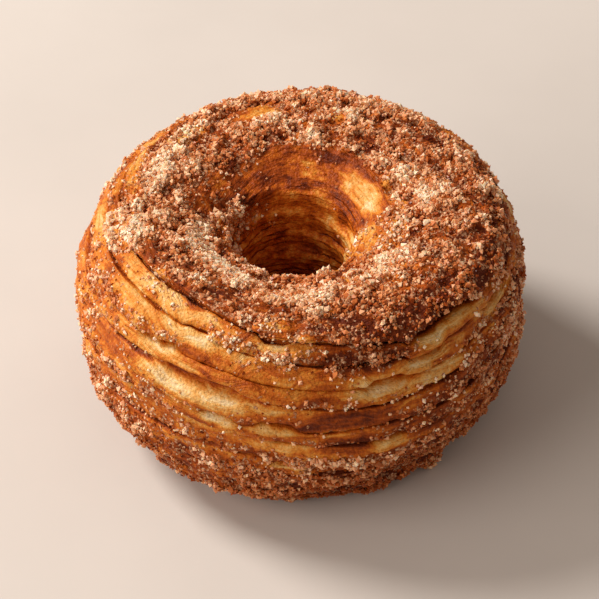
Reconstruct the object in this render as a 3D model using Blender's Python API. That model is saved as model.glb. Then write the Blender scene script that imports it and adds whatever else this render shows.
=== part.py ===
"""Croissant doughnut: one fried ring of laminated dough, coated with cinnamon sugar.

The ring stands on its flattened underside, centred on the origin, with +Z up. Its cross-section is one closed
outline, measured by "run", the distance along that outline from the middle of the underside, up the outer
wall, over the top and down through the hole. The outer wall is a stack of leaves of dough, parted by seams
that gape in places, and the wall of the hole is a stack of ribs. "Around" is the angle round the ring from
its front (-Y), positive towards +X.
"""

from collections import namedtuple
from itertools import product
from math import radians

import bmesh
import bpy
import numpy as np
from mathutils import Matrix

MM = 0.001  # one millimetre, in metres
FULL_TURN = 2 * np.pi

# The ring's cross-section, before any relief
OUTER_RADIUS = 44.5 * MM
HOLE_RADIUS = 11.6 * MM
HEIGHT = 47.4 * MM
WIDEST_HEIGHT = 16.8 * MM  # where the outer wall bulges most
TOP_SQUARENESS = 2.75  # superellipse powers: 2 is round, more is squarer
BASE_SQUARENESS = 1.9
MOUTH_SQUARENESS = 8.0
MOUTH_DEPTH = 4.6 * MM  # how far the rim of the hole lies below the top of the crust
BASE_TRIM = 1.0 * MM  # depth of the round underside that is pressed flat where the ring rests
HOLE_OFFSET = (-2.3 * MM, -2.0 * MM)  # the hole's axis from the ring's
HOLE_OFFSET_RADII = (20 * MM, 36 * MM)  # dough within the first shifts with the hole, beyond the second not
OUTLINE_POINTS = 2880

# Bands of the outline, by run
UNDERSIDE_EDGE = 8.0 * MM
CRUST_EDGE = (  # lower edge of the top crust on the outer shoulder: degrees round the ring, run
    (-75, 58.8 * MM),
    (-43, 61.2 * MM),
    (-13, 59.2 * MM),
    (14, 57.0 * MM),
    (27, 54.6 * MM),
    (73, 54.2 * MM),
    (125, 57.0 * MM),
    (175, 58.4 * MM),
    (235, 57.0 * MM),
)
EDGE_ROUNDING = (-16, -8, 0, 8, 16)  # degrees over which the edge's corners are averaged out
HOLE_RIM = 75.0 * MM  # where the crust ends inside the hole
BARE_BAND_END = 81.6 * MM  # lower edge of the smooth band under the rim
BAND_TILT = 0.8 * MM  # how much further down the band ends on its wider side
BAND_WIDER_SIDE = 115  # degrees round the ring
RIBS_END = 124.0 * MM

# Leaves of dough on the outer wall
LEAVES = 11
LEAST_LEAF = 2.0 * MM
SEAM_WANDER = 0.9 * MM
LEAF_SETBACK = 1.3 * MM  # leaves start this far inside the outline, so that their crests lie on it
LEAF_PUSH = 0.8 * MM  # how far whole leaves stand out of the wall or back from it
LEAF_BULGE = 1.3 * MM
SEAM_HEIGHT = 0.8 * MM
SEAM_DEPTH = 0.9 * MM
NOSE_DROOP = 0.4 * MM  # each leaf's lower lip hangs over the seam below it
NOSE_AT = 0.16  # share of a leaf's height, from its lower edge
SHOULDER_AT = 0.74
SEAM_DEEPEST_AT = 0.7  # share of a seam's height, from its lower edge

# Ribs in the hole and swellings of the top crust
RIBS = 8
RIB_BULGE = 0.8 * MM
RIB_WANDER = 0.7 * MM
CRUST_SETBACK = 0.4 * MM
CRUST_SWELL = 0.8 * MM
CRUST_SWELL_SIZE = 17 * MM
CRUST_LIP = 0.7 * MM
BAND_HOLLOW = 0.5 * MM
SWELLS = (  # where the ring stands out or is sunken: degrees round it, run, half length, half height, out
    (-80, 37 * MM, 45, 11 * MM, 1.3 * MM),
    (30, 19 * MM, 62, 13 * MM, -3.5 * MM),
    (72, 30 * MM, 35, 10 * MM, -1.2 * MM),
    (-140, 62 * MM, 70, 14 * MM, -1.3 * MM),
)

# Mesh density
COLUMNS = 78
UNDERSIDE_ROWS = 3
CRUST_ROWS = 7
BAND_ROWS = 3

# Clumps of coarse sugar that stand out of the coating
CRUST_CLUMPS = 46
FOOT_CLUMPS = 16
CLUMP_RADIUS = (1.0 * MM, 1.35 * MM)
CLUMP_SINK = 0.3  # share of its radius that a clump's centre lies under the crust
FOOT_CLUMP_RUNS = (15 * MM, 30 * MM)
GOLDEN_TURN = FULL_TURN * 0.381966  # the turn that spreads points evenly round a ring
CLUMP_SEED = 41

CRUST_BROWN = (0.36, 0.14, 0.045, 1.0)
CRUST_ROUGHNESS = 0.62
NOISE_CELLS = 16

# A seam that gapes: which seam, its middle and half length round the ring in degrees, the run of its middle,
# and its gape and depth at the middle.
Split = namedtuple("Split", "seam around half_length run gape depth")
FRONT_SPLITS = (
    Split(8, -28.0, 19.0, 45.7 * MM, 4.4 * MM, 2.8 * MM),
    Split(9, -41.5, 9.5, 49.8 * MM, 2.4 * MM, 1.8 * MM),
    Split(10, -32.0, 7.0, 56.2 * MM, 1.4 * MM, 1.6 * MM),
    Split(11, -9.0, 6.5, 57.7 * MM, 1.4 * MM, 1.6 * MM),
    Split(7, -21.5, 6.5, 40.5 * MM, 1.6 * MM, 1.7 * MM),
    Split(7, -7.0, 8.0, 38.3 * MM, 2.4 * MM, 2.0 * MM),
    Split(9, 22.0, 9.5, 46.3 * MM, 3.6 * MM, 2.3 * MM),
    Split(10, 34.0, 8.0, 49.4 * MM, 2.0 * MM, 1.7 * MM),
    Split(11, 43.0, 20.0, 52.4 * MM, 2.8 * MM, 2.0 * MM),
    Split(10, 64.0, 8.0, 48.4 * MM, 2.2 * MM, 2.6 * MM),
    Split(6, 21.0, 7.5, 34.7 * MM, 1.8 * MM, 1.5 * MM),
    Split(5, -3.5, 9.0, 29.8 * MM, 1.8 * MM, 1.7 * MM),
)
SPLIT_FULLNESS = 1.7  # more gives a split blunter ends
BACK_SPLITS = 12
BACK_SPLIT_SEED = 5
BACK_ARC = (85.0, 275.0)  # degrees round the ring that the front splits leave free


def outline():
    """(run, radius, height) along the closed cross-section, from the middle of the underside."""
    turn = np.linspace(-np.pi / 2, 3 * np.pi / 2, OUTLINE_POINTS + 1)
    across, up = np.cos(turn), np.sin(turn)
    in_mouth = (up > 0) & (across < 0)
    power = 2 / np.select([in_mouth, up > 0], [MOUTH_SQUARENESS, TOP_SQUARENESS], BASE_SQUARENESS)
    middle, half_width = (OUTER_RADIUS + HOLE_RADIUS) / 2, (OUTER_RADIUS - HOLE_RADIUS) / 2
    radius = middle + half_width * np.sign(across) * np.abs(across) ** power
    to_hole = np.clip((middle - radius) / half_width, 0, 1)
    mouth = MOUTH_DEPTH * to_hole**2 * (3 - 2 * to_hole)
    reach = np.where(up > 0, HEIGHT - WIDEST_HEIGHT - mouth, WIDEST_HEIGHT + BASE_TRIM)
    height = np.maximum(WIDEST_HEIGHT + reach * np.sign(up) * np.abs(up) ** power, 0)
    steps = np.hypot(np.diff(radius), np.diff(height))
    return np.concatenate([[0], np.cumsum(steps)]), radius, height


RUN, RADIUS, RISE = outline()
OUT_RADIAL = np.gradient(RISE, RUN)
OUT_UP = -np.gradient(RADIUS, RUN)


def soft_noise(points, size, seed):
    """Smooth random values from -1 to 1 at the points, in lumps about as large as size."""
    lattice = np.random.default_rng(seed).uniform(-1, 1, (NOISE_CELLS,) * 3)
    cell = np.floor(points / size).astype(int)
    share = points / size - cell
    share = share * share * (3 - 2 * share)
    total = np.zeros(points.shape[:-1])
    for corner in product((0, 1), repeat=3):
        x, y, z = np.moveaxis((cell + corner) % NOISE_CELLS, -1, 0)
        weight = np.prod(np.where(corner, share, 1 - share), axis=-1)
        total += weight * lattice[x, y, z]
    return total


def wander(around, seed):
    """A smooth random value round the ring, mostly from -1 to 1, that meets itself after a full turn."""
    draw = np.random.default_rng(seed)
    waves = ((1, 0.45), (2, 0.4), (3, 0.35), (5, 0.3), (8, 0.15))
    return sum(size * np.cos(turns * around + draw.uniform(0, FULL_TURN)) for turns, size in waves)


def back_splits():
    """Splits on the far side of the ring, spread evenly along it and up the wall."""
    draw = np.random.default_rng(BACK_SPLIT_SEED)
    splits = []
    for index in range(BACK_SPLITS):
        seam = 4 + (index * 5) % 7
        around = np.interp(index + 0.5, (0, BACK_SPLITS), BACK_ARC)
        gape = draw.uniform(1.4, 3.6) * MM
        run = seam_middle(seam, radians(around))
        splits.append(Split(seam, around, draw.uniform(9, 16), run, gape, 0.5 * gape + 0.9 * MM))
    return tuple(splits)


def seam_middle(seam, around):
    """Run of a seam without its wander: 0 is the underside's edge and the last is the crust's edge."""
    nearby = [np.degrees(around) + step for step in EDGE_ROUNDING]
    crust_edge = np.mean([np.interp(angle, *zip(*CRUST_EDGE), period=360) for angle in nearby], axis=0)
    return UNDERSIDE_EDGE + (crust_edge - UNDERSIDE_EDGE) * seam / LEAVES


SPLITS = FRONT_SPLITS + back_splits()


def closeness(around, middle, half_length):
    """1 at the middle of a stretch round the ring, falling smoothly to 0 at its ends; both in degrees."""
    away = (around - radians(middle) + np.pi) % FULL_TURN - np.pi
    share = np.clip(np.abs(away) / radians(half_length), 0, 1)
    return np.cos(share * np.pi / 2) ** 2


def seams(around):
    """(runs, gapes, depths) of every seam at the angles round the ring, one row for each seam."""
    runs, gapes, depths = [], [], []
    for seam in range(LEAVES + 1):
        run = seam_middle(seam, around) + SEAM_WANDER * wander(around, 100 + seam) * min(1, seam / 4)
        gape = SEAM_HEIGHT * (1 + 0.6 * wander(around, 200 + seam))
        depth = SEAM_DEPTH * (1 + 0.8 * wander(around, 300 + seam))
        for split in (s for s in SPLITS if s.seam == seam):
            near = np.clip(SPLIT_FULLNESS * closeness(around, split.around, split.half_length), 0, 1)
            run = run + (split.run - run) * near
            gape = gape + (split.gape - gape) * near
            depth = depth + (split.depth - depth) * near
        if runs:
            run = np.maximum(run, runs[-1] + (gapes[-1] + gape) / 2 + LEAST_LEAF)
        runs.append(run)
        gapes.append(np.maximum(gape, 0.3 * SEAM_HEIGHT))
        depths.append(np.maximum(depth, 0.1 * SEAM_DEPTH))
    return np.array(runs), np.array(gapes), np.array(depths)


def wall_rows(around):
    """Rows up the outer wall as (run, out): for each leaf a nose, a shoulder, then the seam above it."""
    runs, gapes, depths = seams(around)
    rows = []
    for leaf in range(LEAVES):
        low = runs[leaf] + gapes[leaf] / 2
        high = runs[leaf + 1] - gapes[leaf + 1] / 2
        push = LEAF_PUSH * wander(around, 400 + leaf) - LEAF_SETBACK
        bulge = LEAF_BULGE * (0.75 + 0.25 * wander(around, 500 + leaf))
        rows.append((low + (high - low) * NOSE_AT - NOSE_DROOP, push + bulge))
        rows.append((low + (high - low) * SHOULDER_AT, push + 0.75 * bulge))
        deepest = runs[leaf + 1] + gapes[leaf + 1] * (SEAM_DEEPEST_AT - 0.5)
        rows.append((deepest, push - depths[leaf + 1]))
    return rows


def crust_rows(around):
    """Rows over the top crust, from its lip on the outer shoulder to the rim of the hole."""
    runs, gapes, _ = seams(around)
    start = runs[-1] + gapes[-1] / 2
    rows = []
    for row in range(CRUST_ROWS):
        share = (row + 0.25) / CRUST_ROWS
        run = start + (HOLE_RIM - start) * share
        points = np.stack([*ring_point(around, run, 0 * around)], axis=-1)
        lip = CRUST_LIP * max(0, 1 - 3 * share)
        rows.append((run, CRUST_SWELL * soft_noise(points, CRUST_SWELL_SIZE, 7) + lip - CRUST_SETBACK))
    return rows


def hole_rows(around):
    """Rows down the hole: the smooth hollow band under the rim, then the ribs."""
    rows = []
    band_end = BARE_BAND_END + BAND_TILT * np.cos(around - radians(BAND_WIDER_SIDE))
    for row in range(BAND_ROWS):
        run = HOLE_RIM + (band_end - HOLE_RIM) * (row + 0.5) / BAND_ROWS
        rows.append((run, -BAND_HOLLOW * (1 + 0.5 * wander(around, 600))))
    pitch = (RIBS_END - band_end) / RIBS
    for rib in range(RIBS):
        shift = RIB_WANDER * wander(around, 700 + rib)
        bulge = RIB_BULGE * (0.6 + 0.4 * wander(around, 800 + rib))
        rows.append((band_end + (rib + 0.3) * pitch + shift, bulge))
        rows.append((band_end + (rib + 0.95) * pitch + shift, bulge - RIB_BULGE))
    return rows


def underside_rows(around):
    """Rows across the underside, all on the outline: from the hole's foot to the outer wall's foot."""
    spread = np.linspace(-UNDERSIDE_EDGE, UNDERSIDE_EDGE, UNDERSIDE_ROWS + 2)[1:-1]
    return [(run % RUN[-1] + 0 * around, 0 * around) for run in spread]


def ring_point(around, run, out):
    """(x, y, z) of a point at that angle and run, moved out of the dough's outline by out."""
    for middle, middle_run, half_length, half_height, swell in SWELLS:
        away = np.clip(np.abs(run - middle_run) / half_height, 0, 1)
        out = out + swell * closeness(around, middle, half_length) * np.cos(away * np.pi / 2) ** 2
    radius = np.interp(run, RUN, RADIUS) + out * np.interp(run, RUN, OUT_RADIAL)
    height = np.interp(run, RUN, RISE) + out * np.interp(run, RUN, OUT_UP)
    shift = np.interp(radius, HOLE_OFFSET_RADII, (1, 0))
    shift = shift * shift * (3 - 2 * shift)
    x = radius * np.sin(around) + shift * HOLE_OFFSET[0]
    y = -radius * np.cos(around) + shift * HOLE_OFFSET[1]
    return x, y, height


def dough_ring(name):
    """The ring as one closed mesh: a section spun round the axis, then pressed to its leaves and ribs."""
    around = np.arange(COLUMNS) * FULL_TURN / COLUMNS
    rows = underside_rows(around) + wall_rows(around) + crust_rows(around) + hole_rows(around)
    mesh = bmesh.new()
    row_of = mesh.verts.layers.int.new("row")
    first_run, first_out = (np.array([row[part][0] for row in rows]) for part in (0, 1))
    section = [mesh.verts.new(point) for point in zip(*ring_point(0 * first_run, first_run, first_out))]
    for row, vertex in enumerate(section):
        vertex[row_of] = row
    edges = [mesh.edges.new((a, b)) for a, b in zip(section, section[1:] + section[:1])]
    bmesh.ops.spin(
        mesh,
        geom=section + edges,
        cent=(0, 0, 0),
        axis=(0, 0, 1),
        angle=FULL_TURN,
        steps=COLUMNS,
        use_merge=True,
    )
    bmesh.ops.recalc_face_normals(mesh, faces=mesh.faces)
    for vertex in mesh.verts:
        angle = np.arctan2(vertex.co.x, -vertex.co.y)
        column = round(angle / FULL_TURN * COLUMNS) % COLUMNS
        run, out = (rows[vertex[row_of]][part][column] for part in (0, 1))
        vertex.co = ring_point(around[column], run, out)
        vertex.co.z = max(vertex.co.z, 0)
    bmesh.ops.triangulate(mesh, faces=mesh.faces)
    return object_of(mesh, name)


def object_of(mesh, name):
    """Turns a bmesh into a named object in the scene."""
    data = bpy.data.meshes.new(name)
    mesh.to_mesh(data)
    mesh.free()
    made = bpy.data.objects.new(name, data)
    bpy.context.scene.collection.objects.link(made)
    return made


def clump_places():
    """(around, run) of every sugar clump: evenly over the crust, then round the foot of the wall."""
    places = []
    for index in range(CRUST_CLUMPS):
        share = (index + 0.5) / CRUST_CLUMPS
        start = seam_middle(LEAVES, index * GOLDEN_TURN) + 3 * MM
        places.append((index * GOLDEN_TURN, HOLE_RIM - (HOLE_RIM - start) * share**0.6))
    for index in range(FOOT_CLUMPS):
        places.append((index * GOLDEN_TURN, np.interp(index + 0.5, (0, FOOT_CLUMPS), FOOT_CLUMP_RUNS)))
    return places


def sugar_clumps(ring):
    """A collection of angular sugar clumps, each sunk a little into the ring's surface."""
    draw = np.random.default_rng(CLUMP_SEED)
    clumps = bpy.data.collections.new("sugar_clumps")
    bpy.context.scene.collection.children.link(clumps)
    for around, run in clump_places():
        outside = ring_point(around, run, 20 * MM)
        inward = np.array(ring_point(around, run, 0)) - outside
        hit, place, normal, _ = ring.ray_cast(outside, inward)
        if not hit:
            continue
        radius = draw.uniform(*CLUMP_RADIUS)
        mesh = bmesh.new()
        bmesh.ops.create_icosphere(mesh, subdivisions=1, radius=radius)
        bmesh.ops.scale(mesh, vec=draw.uniform(0.75, 1.1, 3), verts=mesh.verts)
        clump = object_of(mesh, "sugar_clump")
        clump.location = place - normal * radius * CLUMP_SINK
        clump.rotation_euler = draw.uniform(0, FULL_TURN, 3)
        bpy.context.scene.collection.objects.unlink(clump)
        clumps.objects.link(clump)
    return clumps


def fuse(ring, clumps):
    """Joins the clumps to the ring with one Boolean union, and removes them."""
    union = ring.modifiers.new("sugar", "BOOLEAN")
    union.operation = "UNION"
    union.operand_type = "COLLECTION"
    union.collection = clumps
    union.solver = "EXACT"
    bpy.context.view_layer.objects.active = ring
    bpy.ops.object.modifier_apply(modifier=union.name)
    for clump in list(clumps.objects):
        bpy.data.objects.remove(clump)
    bpy.data.collections.remove(clumps)


def crust_material():
    """Fried dough under cinnamon sugar: a matt reddish brown."""
    material = bpy.data.materials.new("fried_crust")
    material.use_nodes = True
    shader = material.node_tree.nodes["Principled BSDF"]
    shader.inputs["Base Color"].default_value = CRUST_BROWN
    shader.inputs["Roughness"].default_value = CRUST_ROUGHNESS
    shader.inputs["Metallic"].default_value = 0.0
    return material


def centre(ring):
    """Moves the mesh so that the middle of its base lies on the origin."""
    points = np.array([vertex.co for vertex in ring.data.vertices])
    low, high = points.min(axis=0), points.max(axis=0)
    middle = (low + high) / 2
    ring.data.transform(Matrix.Translation((-middle[0], -middle[1], -low[2])))


def main():
    for old in list(bpy.data.objects):
        bpy.data.objects.remove(old)
    ring = dough_ring("croissant_doughnut")
    bpy.context.view_layer.update()
    fuse(ring, sugar_clumps(ring))
    centre(ring)
    ring.data.materials.clear()
    ring.data.materials.append(crust_material())


main()
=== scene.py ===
"""Dresses the croissant doughnut: browned, laminated dough under a coat of cinnamon sugar.

The dough is one ring whose cross-section is an outline measured by "run", the distance from the middle of
the underside, up the outer wall, over the top and down through the hole. "Around" is the angle round the
ring from its front (-Y), positive towards +X. Leaves, seams and splits lie where the frame's solid has them.
Grains of sugar are then strewn over the dough's own surface, thickest where the coat is thickest.
"""

from collections import namedtuple
from functools import partial
from itertools import product
from math import cos, radians, sin

import bpy
import numpy as np
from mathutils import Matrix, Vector


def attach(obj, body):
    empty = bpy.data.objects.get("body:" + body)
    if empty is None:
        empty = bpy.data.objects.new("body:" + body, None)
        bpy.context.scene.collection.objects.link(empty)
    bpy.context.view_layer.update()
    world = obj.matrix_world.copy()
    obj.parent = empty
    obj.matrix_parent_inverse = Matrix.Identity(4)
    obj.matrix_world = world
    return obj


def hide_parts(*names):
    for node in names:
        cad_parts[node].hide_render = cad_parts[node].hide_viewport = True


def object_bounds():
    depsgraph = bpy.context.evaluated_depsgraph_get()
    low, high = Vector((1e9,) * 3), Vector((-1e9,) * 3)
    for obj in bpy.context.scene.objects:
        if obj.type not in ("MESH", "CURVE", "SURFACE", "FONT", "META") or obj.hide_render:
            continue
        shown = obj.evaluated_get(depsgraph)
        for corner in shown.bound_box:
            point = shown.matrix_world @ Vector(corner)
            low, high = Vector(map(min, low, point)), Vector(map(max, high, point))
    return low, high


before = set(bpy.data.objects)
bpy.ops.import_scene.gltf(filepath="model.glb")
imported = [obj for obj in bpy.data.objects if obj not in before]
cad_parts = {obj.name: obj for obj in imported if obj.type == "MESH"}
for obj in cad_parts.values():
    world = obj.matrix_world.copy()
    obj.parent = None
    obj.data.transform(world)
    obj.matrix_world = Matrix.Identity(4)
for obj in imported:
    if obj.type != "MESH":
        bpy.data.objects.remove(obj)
CAD_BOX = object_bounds()
NODE = "croissant_doughnut"

MM = 0.001  # one millimetre, in metres
FULL_TURN = 2 * np.pi

# The ring's cross-section, before any relief
OUTER_RADIUS = 44.5 * MM
HOLE_RADIUS = 11.6 * MM
HEIGHT = 47.4 * MM
WIDEST_HEIGHT = 16.8 * MM  # where the outer wall bulges most
TOP_SQUARENESS = 2.75  # superellipse powers: 2 is round, more is squarer
BASE_SQUARENESS = 1.9
MOUTH_SQUARENESS = 8.0
MOUTH_DEPTH = 4.6 * MM  # how far the rim of the hole lies below the top of the crust
BASE_TRIM = 1.0 * MM  # depth of the round underside that is pressed flat where the ring rests
HOLE_OFFSET = (-2.3 * MM, -2.0 * MM)  # the hole's axis from the ring's
HOLE_OFFSET_RADII = (20 * MM, 36 * MM)  # dough within the first shifts with the hole, beyond the second not
OUTLINE_POINTS = 2880

# Bands of the outline, by run
UNDERSIDE_EDGE = 8.0 * MM
CRUST_EDGE = (  # lower edge of the top crust on the outer shoulder: degrees round the ring, run
    (-75, 58.8 * MM),
    (-43, 61.2 * MM),
    (-13, 59.2 * MM),
    (14, 57.0 * MM),
    (27, 54.6 * MM),
    (73, 54.2 * MM),
    (125, 57.0 * MM),
    (175, 58.4 * MM),
    (235, 57.0 * MM),
)
EDGE_ROUNDING = (-16, -8, 0, 8, 16)  # degrees over which the edge's corners are averaged out
HOLE_RIM = 75.0 * MM  # where the crust ends inside the hole
BARE_BAND_END = 81.6 * MM  # lower edge of the smooth band under the rim
BAND_TILT = 0.8 * MM  # how much further down the band ends on its wider side
BAND_WIDER_SIDE = 115  # degrees round the ring
RIBS_END = 124.0 * MM

# Leaves of dough on the outer wall
LEAVES = 11
LEAST_LEAF = 2.0 * MM
LEAF_HEIGHT = 4.2 * MM  # of the dough's pattern, the same for all leaves
SEAM_WANDER = 0.9 * MM
STEADY_SEAMS = 4  # seams below this one wander less, the lower the less
LEAF_SETBACK = 1.3 * MM  # leaves start this far inside the outline, so that their crests lie on it
LEAF_PUSH = 0.8 * MM  # how far whole leaves stand out of the wall or back from it
LEAF_BULGE, LEAF_BULGE_VARIES = 1.3 * MM, 0.25  # how far a leaf bulges, and the share by which that varies
LEAF_PROFILE = ((0, 0.45), (0.05, 0.85), (0.13, 1.0), (0.3, 1.0), (0.74, 0.75), (1, 0.45))  # share, bulge
NOSE_DROOP = 0.6 * MM  # each leaf's lower lip hangs over the seam below it
NOSE_SHARE = 0.35  # share of a leaf's height that droops
SEAM_HEIGHT, SEAM_HEIGHT_VARIES, LEAST_SEAM_HEIGHT = 0.8 * MM, 0.6, 0.24 * MM
SEAM_DEPTH, SEAM_DEPTH_VARIES, LEAST_SEAM_DEPTH = 0.9 * MM, 0.8, 0.09 * MM
SEAM_DEEPEST_AT = 0.72  # share of a seam's height, from its lower edge
SEAM_RISE = 0.4  # share of the way to the next leaf's foot that a seam's floor comes out by at its top

# Ribs in the hole and swellings of the top crust
RIBS = 8
RIB_BULGE, RIB_BULGE_VARIES = 0.8 * MM, 0.4
RIB_WANDER = 0.7 * MM
RIB_CREST_AT, RIB_FOOT_AT = 0.3, 0.95  # share of a rib's pitch
CRUST_SETBACK = 0.4 * MM
CRUST_SWELL = 0.8 * MM
CRUST_SWELL_SIZE = 17 * MM
CRUST_LIP, CRUST_LIP_SHARE = 0.7 * MM, 1 / 3  # how far the crust's edge stands out, over that share of it
CRUST_LIP_ROUNDING = ((0, 0.4), (0.03, 1))  # share of the crust, share of the lip
CRUST_NOSE_SHARE = 0.06  # share of the crust that droops at its edge
BAND_HOLLOW, BAND_HOLLOW_VARIES = 0.5 * MM, 0.5
SWELLS = (  # where the ring stands out or is sunken: degrees round it, run, half length, half height, out
    (-80, 37 * MM, 45, 11 * MM, 1.3 * MM),
    (30, 19 * MM, 62, 13 * MM, -3.5 * MM),
    (72, 30 * MM, 35, 10 * MM, -1.2 * MM),
    (-140, 62 * MM, 70, 14 * MM, -1.3 * MM),
)

# Thin sheets within each leaf, which show as fine ridges
SHEET_PITCH = 1.6 * MM
SHEET_RELIEF = 0.22 * MM
SHEET_DRIFT = 2.6 * MM  # how far the sheets stray from the leaves' own direction
GROOVE_STRENGTH = (  # of the grooves between the sheets: run, strength
    (58 * MM, 0.35),
    (80 * MM, 0.5),
    (83 * MM, 2.4),
)

# Mesh density
COLUMNS = 336
UNDERSIDE_ROWS = 8
LEAF_ROWS = 9
SEAM_ROWS, SEAM_ROW_AT = 5, 0.7  # rows in a seam, and where in its step each lies
CRUST_ROWS = 42
BAND_ROWS = 12
RIB_ROWS = 80
RIB_ROWS_CROWDING = 1.4  # above 1 sets the rows in the hole closer together near its mouth
NOISE_CELLS = 16

# A seam that gapes: which seam, its middle and half length round the ring in degrees, the run of its middle,
# and its gape and depth at the middle.
Split = namedtuple("Split", "seam around half_length run gape depth")
FRONT_SPLITS = (
    Split(8, -28.0, 19.0, 45.7 * MM, 4.4 * MM, 2.8 * MM),
    Split(9, -41.5, 9.5, 49.8 * MM, 2.4 * MM, 1.8 * MM),
    Split(10, -32.0, 7.0, 56.2 * MM, 1.4 * MM, 1.6 * MM),
    Split(11, -9.0, 6.5, 57.7 * MM, 1.4 * MM, 1.6 * MM),
    Split(7, -21.5, 6.5, 40.5 * MM, 1.6 * MM, 1.7 * MM),
    Split(7, -7.0, 8.0, 38.3 * MM, 2.4 * MM, 2.0 * MM),
    Split(9, 22.0, 9.5, 46.3 * MM, 3.6 * MM, 2.3 * MM),
    Split(10, 34.0, 8.0, 49.4 * MM, 2.0 * MM, 1.7 * MM),
    Split(11, 43.0, 20.0, 52.4 * MM, 2.8 * MM, 2.0 * MM),
    Split(10, 64.0, 8.0, 48.4 * MM, 2.2 * MM, 2.6 * MM),
    Split(6, 21.0, 7.5, 34.7 * MM, 1.8 * MM, 1.5 * MM),
    Split(5, -3.5, 9.0, 29.8 * MM, 1.8 * MM, 1.7 * MM),
)
SPLIT_FULLNESS = 1.7  # more gives a split blunter ends
BACK_SPLITS = 12
BACK_SPLIT_SEED = 5
BACK_ARC = (85.0, 275.0)  # degrees round the ring that the front splits leave free
BACK_LOWEST_SEAM, BACK_SEAMS, BACK_SEAM_STEP = 4, 7, 5  # splits step through these seams, out of order
BACK_HALF_LENGTHS = (9, 16)  # degrees
BACK_GAPES = (1.4, 3.6)  # millimetres
DEPTH_OF_GAPE, DEPTH_OF_ALL = 0.5, 0.9 * MM  # a back split's depth: share of its gape, and what all have

# How brown the dough is, from 0 for cream to 1 for burnt, and how thick sugar lies on it; browning also holds
# painted shade
WALL_BROWNING, WALL_SUGAR = 0.46, 0.35
FOOT_BROWNING, FOOT_SUGAR = 0.66, 0.85
CRUST_BROWNING, CRUST_SUGAR = 0.72, 0.92
# The bare band under the rim is browner partly as painted shade over its shelf
BAND_BROWNING_AND_SHADE, BAND_SUGAR = 0.66, 0.06
RIB_BROWNING, RIB_SUGAR = 0.51, 0.03
UNDERSIDE_BROWNING, UNDERSIDE_SUGAR = 0.7, 0.3
FOOT_TOP, FOOT_FADE = 31 * MM, 5 * MM  # run up to which the foot of the wall is sugared, and how it ends
# Painted highlight: how much paler a rib's crest is than its trough
RIB_CREST_PAINTED_LIGHT = 0.1
DEEP_PAINTED_SHADE = 0.18  # painted shade: how much browner the ribs are at the bottom of the hole
SUGAR_REACHES = 0.25  # share of the ribs' depth down which the crust's sugar thins out
SPLIT_BROWNING = 0.12
SPLIT_PALENESS = 0.82  # how much of the browning a split takes away
SPLIT_PALE_UNDER_SHADE = ((0.2, 1), (0.65, 0))  # share of a seam's height, how pale a split leaves it: cream low down, painted shade under the lip above
SPLIT_FADE_DOWN = ((0.4, 0), (0.75, 1))  # the same on the leaf below
CREVICE_PAINTED_SHADE = 0.4  # painted shade: how much browner the bottom of a narrow seam is
CREVICE_SUGAR = 0.5  # share of the wall's sugar that a seam keeps
LIP_BROWNING, LIP_SUGAR = 0.16, 0.3  # what a leaf's lower lip has more of than its face
LIP_FADE = ((0, 1), (0.3, 1), (0.6, 0))  # share of a leaf's height, how much of a lip it is
LEAF_FACE_SUGAR = 0.6  # share of the wall's sugar that a leaf's face keeps
CRUST_EDGE_SUGAR = ((0, 0.55), (0.08, 1))  # share of the crust, share of its sugar
RIM_SHARE, RIM_SUGAR = 0.15, 0.2  # last part of the crust before the bare band, and its share of the sugar
BAND_PAINTED_LIGHT = ((0, 0.1), (0.3, -0.12), (0.55, 0.05), (1, 0.2))  # share of the band, how much browner: a painted highlight a third of the way down, painted shade at its edges
BARE_BAND_MIDDLE, BARE_BAND_HALF_LENGTH = 150, 105  # degrees round the ring where no sugar lies under the rim
BARE_BAND_FULLNESS = 1.6  # more gives the bare stretch blunter ends
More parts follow.
